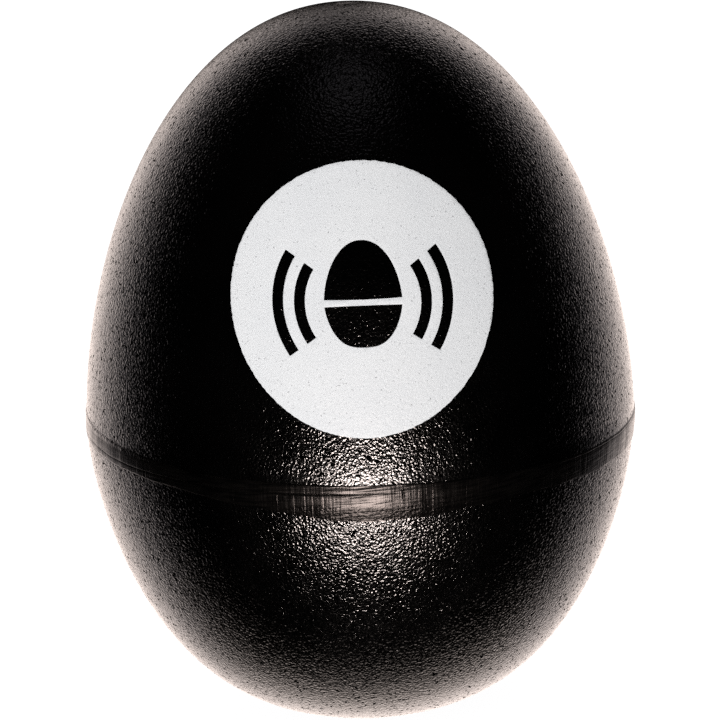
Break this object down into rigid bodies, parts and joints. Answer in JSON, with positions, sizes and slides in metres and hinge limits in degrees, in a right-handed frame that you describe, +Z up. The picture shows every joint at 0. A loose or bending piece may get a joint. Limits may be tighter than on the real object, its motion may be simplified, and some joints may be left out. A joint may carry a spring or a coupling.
{
  "type": "egg shaker",
  "caption": "Hand-sized egg shaker: a black moulded plastic egg with welded halves, a round white print and loose steel shot inside that rattles when shaken.",
  "frame": {"origin": "centre of the flat foot at the blunt end, which is the bottom centre of the bounding box", "axes": "+Z up through the narrow end along the egg's axis; -Y towards the printed badge; +X to the right when facing the badge"},
  "size_m": [0.0442, 0.0442, 0.0569],
  "materials": {
    "shell_black": "black moulded plastic with a fine spark-eroded grain, satin",
    "weld_black": "scraped and burnished black plastic, smoother than the shell",
    "ink_white": "matt white pad-print ink with small pinholes over the grain",
    "shot_steel": "tumbled steel balls, slightly scuffed"
  },
  "bodies": {
    "egg": {"lower_shell": "shell_black", "upper_shell": "shell_black", "weld_band": "weld_black", "printed_badge": "ink_white"},
    "shot_01": {"shot_01": "shot_steel"},
    "shot_02": {"shot_02": "shot_steel"},
    "shot_03": {"shot_03": "shot_steel"},
    "shot_04": {"shot_04": "shot_steel"},
    "shot_05": {"shot_05": "shot_steel"},
    "shot_06": {"shot_06": "shot_steel"},
    "shot_07": {"shot_07": "shot_steel"},
    "shot_08": {"shot_08": "shot_steel"},
    "shot_09": {"shot_09": "shot_steel"},
    "shot_10": {"shot_10": "shot_steel"},
    "shot_11": {"shot_11": "shot_steel"},
    "shot_12": {"shot_12": "shot_steel"},
    "shot_13": {"shot_13": "shot_steel"},
    "shot_14": {"shot_14": "shot_steel"},
    "shot_15": {"shot_15": "shot_steel"},
    "shot_16": {"shot_16": "shot_steel"},
    "shot_17": {"shot_17": "shot_steel"},
    "shot_18": {"shot_18": "shot_steel"},
    "shot_19": {"shot_19": "shot_steel"},
    "shot_20": {"shot_20": "shot_steel"},
    "shot_21": {"shot_21": "shot_steel"},
    "shot_22": {"shot_22": "shot_steel"},
    "shot_23": {"shot_23": "shot_steel"},
    "shot_24": {"shot_24": "shot_steel"},
    "shot_25": {"shot_25": "shot_steel"},
    "shot_26": {"shot_26": "shot_steel"},
    "shot_27": {"shot_27": "shot_steel"},
    "shot_28": {"shot_28": "shot_steel"},
    "shot_29": {"shot_29": "shot_steel"},
    "shot_30": {"shot_30": "shot_steel"},
    "shot_31": {"shot_31": "shot_steel"},
    "shot_32": {"shot_32": "shot_steel"},
    "shot_33": {"shot_33": "shot_steel"},
    "shot_34": {"shot_34": "shot_steel"},
    "shot_35": {"shot_35": "shot_steel"},
    "shot_36": {"shot_36": "shot_steel"},
    "shot_37": {"shot_37": "shot_steel"},
    "shot_38": {"shot_38": "shot_steel"},
    "shot_39": {"shot_39": "shot_steel"},
    "shot_40": {"shot_40": "shot_steel"},
    "shot_41": {"shot_41": "shot_steel"},
    "shot_42": {"shot_42": "shot_steel"},
    "shot_43": {"shot_43": "shot_steel"},
    "shot_44": {"shot_44": "shot_steel"},
    "shot_45": {"shot_45": "shot_steel"},
    "shot_46": {"shot_46": "shot_steel"},
    "shot_47": {"shot_47": "shot_steel"},
    "shot_48": {"shot_48": "shot_steel"},
    "shot_49": {"shot_49": "shot_steel"},
    "shot_50": {"shot_50": "shot_steel"}
  },
  "joints": [
    {"name": "shot_01_flight", "type": "slide", "parent": "egg", "child": "shot_01", "axis": [0, 0, 1], "range_m": [0, 0.03891]},
    {"name": "shot_02_flight", "type": "slide", "parent": "egg", "child": "shot_02", "axis": [0, 0, 1], "range_m": [0, 0.03515]},
    {"name": "shot_03_flight", "type": "slide", "parent": "egg", "child": "shot_03", "axis": [0, 0, 1], "range_m": [0, 0.03515]},
    {"name": "shot_04_flight", "type": "slide", "parent": "egg", "child": "shot_04", "axis": [0, 0, 1], "range_m": [0, 0.03515]},
    {"name": "shot_05_flight", "type": "slide", "parent": "egg", "child": "shot_05", "axis": [0, 0, 1], "range_m": [0, 0.03515]},
    {"name": "shot_06_flight", "type": "slide", "parent": "egg", "child": "shot_06", "axis": [0, 0, 1], "range_m": [0, 0.03515]},
    {"name": "shot_07_flight", "type": "slide", "parent": "egg", "child": "shot_07", "axis": [0, 0, 1], "range_m": [0, 0.03515]},
    {"name": "shot_08_flight", "type": "slide", "parent": "egg", "child": "shot_08", "axis": [0, 0, 1], "range_m": [0, 0.03891]},
    {"name": "shot_09_flight", "type": "slide", "parent": "egg", "child": "shot_09", "axis": [0, 0, 1], "range_m": [0, 0.03891]},
    {"name": "shot_10_flight", "type": "slide", "parent": "egg", "child": "shot_10", "axis": [0, 0, 1], "range_m": [0, 0.03891]},
    {"name": "shot_11_flight", "type": "slide", "parent": "egg", "child": "shot_11", "axis": [0, 0, 1], "range_m": [0, 0.03649]},
    {"name": "shot_12_flight", "type": "slide", "parent": "egg", "child": "shot_12", "axis": [0, 0, 1], "range_m": [0, 0.03649]},
    {"name": "shot_13_flight", "type": "slide", "parent": "egg", "child": "shot_13", "axis": [0, 0, 1], "range_m": [0, 0.03649]},
    {"name": "shot_14_flight", "type": "slide", "parent": "egg", "child": "shot_14", "axis": [0, 0, 1], "range_m": [0, 0.03515]},
    {"name": "shot_15_flight", "type": "slide", "parent": "egg", "child": "shot_15", "axis": [0, 0, 1], "range_m": [0, 0.03515]},
    {"name": "shot_16_flight", "type": "slide", "parent": "egg", "child": "shot_16", "axis": [0, 0, 1], "range_m": [0, 0.03515]},
    {"name": "shot_17_flight", "type": "slide", "parent": "egg", "child": "shot_17", "axis": [0, 0, 1], "range_m": [0, 0.03515]},
    {"name": "shot_18_flight", "type": "slide", "parent": "egg", "child": "shot_18", "axis": [0, 0, 1], "range_m": [0, 0.03515]},
    {"name": "shot_19_flight", "type": "slide", "parent": "egg", "child": "shot_19", "axis": [0, 0, 1], "range_m": [0, 0.03515]},
    {"name": "shot_20_flight", "type": "slide", "parent": "egg", "child": "shot_20", "axis": [0, 0, 1], "range_m": [0, 0.03058]},
    {"name": "shot_21_flight", "type": "slide", "parent": "egg", "child": "shot_21", "axis": [0, 0, 1], "range_m": [0, 0.03515]},
    {"name": "shot_22_flight", "type": "slide", "parent": "egg", "child": "shot_22", "axis": [0, 0, 1], "range_m": [0, 0.03515]},
    {"name": "shot_23_flight", "type": "slide", "parent": "egg", "child": "shot_23", "axis": [0, 0, 1], "range_m": [0, 0.03515]},
    {"name": "shot_24_flight", "type": "slide", "parent": "egg", "child": "shot_24", "axis": [0, 0, 1], "range_m": [0, 0.03515]},
    {"name": "shot_25_flight", "type": "slide", "parent": "egg", "child": "shot_25", "axis": [0, 0, 1], "range_m": [0, 0.03515]},
    {"name": "shot_26_flight", "type": "slide", "parent": "egg", "child": "shot_26", "axis": [0, 0, 1], "range_m": [0, 0.03058]},
    {"name": "shot_27_flight", "type": "slide", "parent": "egg", "child": "shot_27", "axis": [0, 0, 1], "range_m": [0, 0.03058]},
    {"name": "shot_28_flight", "type": "slide", "parent": "egg", "child": "shot_28", "axis": [0, 0, 1], "range_m": [0, 0.03649]},
    {"name": "shot_29_flight", "type": "slide", "parent": "egg", "child": "shot_29", "axis": [0, 0, 1], "range_m": [0, 0.03995]},
    {"name": "shot_30_flight", "type": "slide", "parent": "egg", "child": "shot_30", "axis": [0, 0, 1], "range_m": [0, 0.03891]},
    {"name": "shot_31_flight", "type": "slide", "parent": "egg", "child": "shot_31", "axis": [0, 0, 1], "range_m": [0, 0.03891]},
    {"name": "shot_32_flight", "type": "slide", "parent": "egg", "child": "shot_32", "axis": [0, 0, 1], "range_m": [0, 0.03891]},
    {"name": "shot_33_flight", "type": "slide", "parent": "egg", "child": "shot_33", "axis": [0, 0, 1], "range_m": [0, 0.03891]},
    {"name": "shot_34_flight", "type": "slide", "parent": "egg", "child": "shot_34", "axis": [0, 0, 1], "range_m": [0, 0.03891]},
    {"name": "shot_35_flight", "type": "slide", "parent": "egg", "child": "shot_35", "axis": [0, 0, 1], "range_m": [0, 0.03891]},
    {"name": "shot_36_flight", "type": "slide", "parent": "egg", "child": "shot_36", "axis": [0, 0, 1], "range_m": [0, 0.03649]},
    {"name": "shot_37_flight", "type": "slide", "parent": "egg", "child": "shot_37", "axis": [0, 0, 1], "range_m": [0, 0.03649]},
    {"name": "shot_38_flight", "type": "slide", "parent": "egg", "child": "shot_38", "axis": [0, 0, 1], "range_m": [0, 0.03649]},
    {"name": "shot_39_flight", "type": "slide", "parent": "egg", "child": "shot_39", "axis": [0, 0, 1], "range_m": [0, 0.03649]},
    {"name": "shot_40_flight", "type": "slide", "parent": "egg", "child": "shot_40", "axis": [0, 0, 1], "range_m": [0, 0.03649]},
    {"name": "shot_41_flight", "type": "slide", "parent": "egg", "child": "shot_41", "axis": [0, 0, 1], "range_m": [0, 0.03649]},
    {"name": "shot_42_flight", "type": "slide", "parent": "egg", "child": "shot_42", "axis": [0, 0, 1], "range_m": [0, 0.03515]},
    {"name": "shot_43_flight", "type": "slide", "parent": "egg", "child": "shot_43", "axis": [0, 0, 1], "range_m": [0, 0.03515]},
    {"name": "shot_44_flight", "type": "slide", "parent": "egg", "child": "shot_44", "axis": [0, 0, 1], "range_m": [0, 0.03515]},
    {"name": "shot_45_flight", "type": "slide", "parent": "egg", "child": "shot_45", "axis": [0, 0, 1], "range_m": [0, 0.03515]},
    {"name": "shot_46_flight", "type": "slide", "parent": "egg", "child": "shot_46", "axis": [0, 0, 1], "range_m": [0, 0.03515]},
    {"name": "shot_47_flight", "type": "slide", "parent": "egg", "child": "shot_47", "axis": [0, 0, 1], "range_m": [0, 0.03515]},
    {"name": "shot_48_flight", "type": "slide", "parent": "egg", "child": "shot_48", "axis": [0, 0, 1], "range_m": [0, 0.03058]},
    {"name": "shot_49_flight", "type": "slide", "parent": "egg", "child": "shot_49", "axis": [0, 0, 1], "range_m": [0, 0.03058]},
    {"name": "shot_50_flight", "type": "slide", "parent": "egg", "child": "shot_50", "axis": [0, 0, 1], "range_m": [0, 0.03058]}
  ],
  "couplings": [
    {"joint": "shot_01_flight", "follows": "shot_29_flight", "ratio": 0.97397},
    {"joint": "shot_02_flight", "follows": "shot_29_flight", "ratio": 0.87985},
    {"joint": "shot_03_flight", "follows": "shot_29_flight", "ratio": 0.87985},
    {"joint": "shot_04_flight", "follows": "shot_29_flight", "ratio": 0.87985},
    {"joint": "shot_05_flight", "follows": "shot_29_flight", "ratio": 0.87985},
    {"joint": "shot_06_flight", "follows": "shot_29_flight", "ratio": 0.87985},
    {"joint": "shot_07_flight", "follows": "shot_29_flight", "ratio": 0.87985},
    {"joint": "shot_08_flight", "follows": "shot_29_flight", "ratio": 0.97397},
    {"joint": "shot_09_flight", "follows": "shot_29_flight", "ratio": 0.97397},
    {"joint": "shot_10_flight", "follows": "shot_29_flight", "ratio": 0.97397},
    {"joint": "shot_11_flight", "follows": "shot_29_flight", "ratio": 0.91339},
    {"joint": "shot_12_flight", "follows": "shot_29_flight", "ratio": 0.91339},
    {"joint": "shot_13_flight", "follows": "shot_29_flight", "ratio": 0.91339},
    {"joint": "shot_14_flight", "follows": "shot_29_flight", "ratio": 0.87985},
    {"joint": "shot_15_flight", "follows": "shot_29_flight", "ratio": 0.87985},
    {"joint": "shot_16_flight", "follows": "shot_29_flight", "ratio": 0.87985},
    {"joint": "shot_17_flight", "follows": "shot_29_flight", "ratio": 0.87985},
    {"joint": "shot_18_flight", "follows": "shot_29_flight", "ratio": 0.87985},
    {"joint": "shot_19_flight", "follows": "shot_29_flight", "ratio": 0.87985},
    {"joint": "shot_20_flight", "follows": "shot_29_flight", "ratio": 0.76546},
    {"joint": "shot_21_flight", "follows": "shot_29_flight", "ratio": 0.87985},
    {"joint": "shot_22_flight", "follows": "shot_29_flight", "ratio": 0.87985},
    {"joint": "shot_23_flight", "follows": "shot_29_flight", "ratio": 0.87985},
    {"joint": "shot_24_flight", "follows": "shot_29_flight", "ratio": 0.87985},
    {"joint": "shot_25_flight", "follows": "shot_29_flight", "ratio": 0.87985},
    {"joint": "shot_26_flight", "follows": "shot_29_flight", "ratio": 0.76546},
    {"joint": "shot_27_flight", "follows": "shot_29_flight", "ratio": 0.76546},
    {"joint": "shot_28_flight", "follows": "shot_29_flight", "ratio": 0.91339},
    {"joint": "shot_30_flight", "follows": "shot_29_flight", "ratio": 0.97397},
    {"joint": "shot_31_flight", "follows": "shot_29_flight", "ratio": 0.97397},
    {"joint": "shot_32_flight", "follows": "shot_29_flight", "ratio": 0.97397},
    {"joint": "shot_33_flight", "follows": "shot_29_flight", "ratio": 0.97397},
    {"joint": "shot_34_flight", "follows": "shot_29_flight", "ratio": 0.97397},
    {"joint": "shot_35_flight", "follows": "shot_29_flight", "ratio": 0.97397},
    {"joint": "shot_36_flight", "follows": "shot_29_flight", "ratio": 0.91339},
    {"joint": "shot_37_flight", "follows": "shot_29_flight", "ratio": 0.91339},
    {"joint": "shot_38_flight", "follows": "shot_29_flight", "ratio": 0.91339},
    {"joint": "shot_39_flight", "follows": "shot_29_flight", "ratio": 0.91339},
    {"joint": "shot_40_flight", "follows": "shot_29_flight", "ratio": 0.91339},
    {"joint": "shot_41_flight", "follows": "shot_29_flight", "ratio": 0.91339},
    {"joint": "shot_42_flight", "follows": "shot_29_flight", "ratio": 0.87985},
    {"joint": "shot_43_flight", "follows": "shot_29_flight", "ratio": 0.87985},
    {"joint": "shot_44_flight", "follows": "shot_29_flight", "ratio": 0.87985},
    {"joint": "shot_45_flight", "follows": "shot_29_flight", "ratio": 0.87985},
    {"joint": "shot_46_flight", "follows": "shot_29_flight", "ratio": 0.87985},
    {"joint": "shot_47_flight", "follows": "shot_29_flight", "ratio": 0.87985},
    {"joint": "shot_48_flight", "follows": "shot_29_flight", "ratio": 0.76546},
    {"joint": "shot_49_flight", "follows": "shot_29_flight", "ratio": 0.76546},
    {"joint": "shot_50_flight", "follows": "shot_29_flight", "ratio": 0.76546}
  ]
}
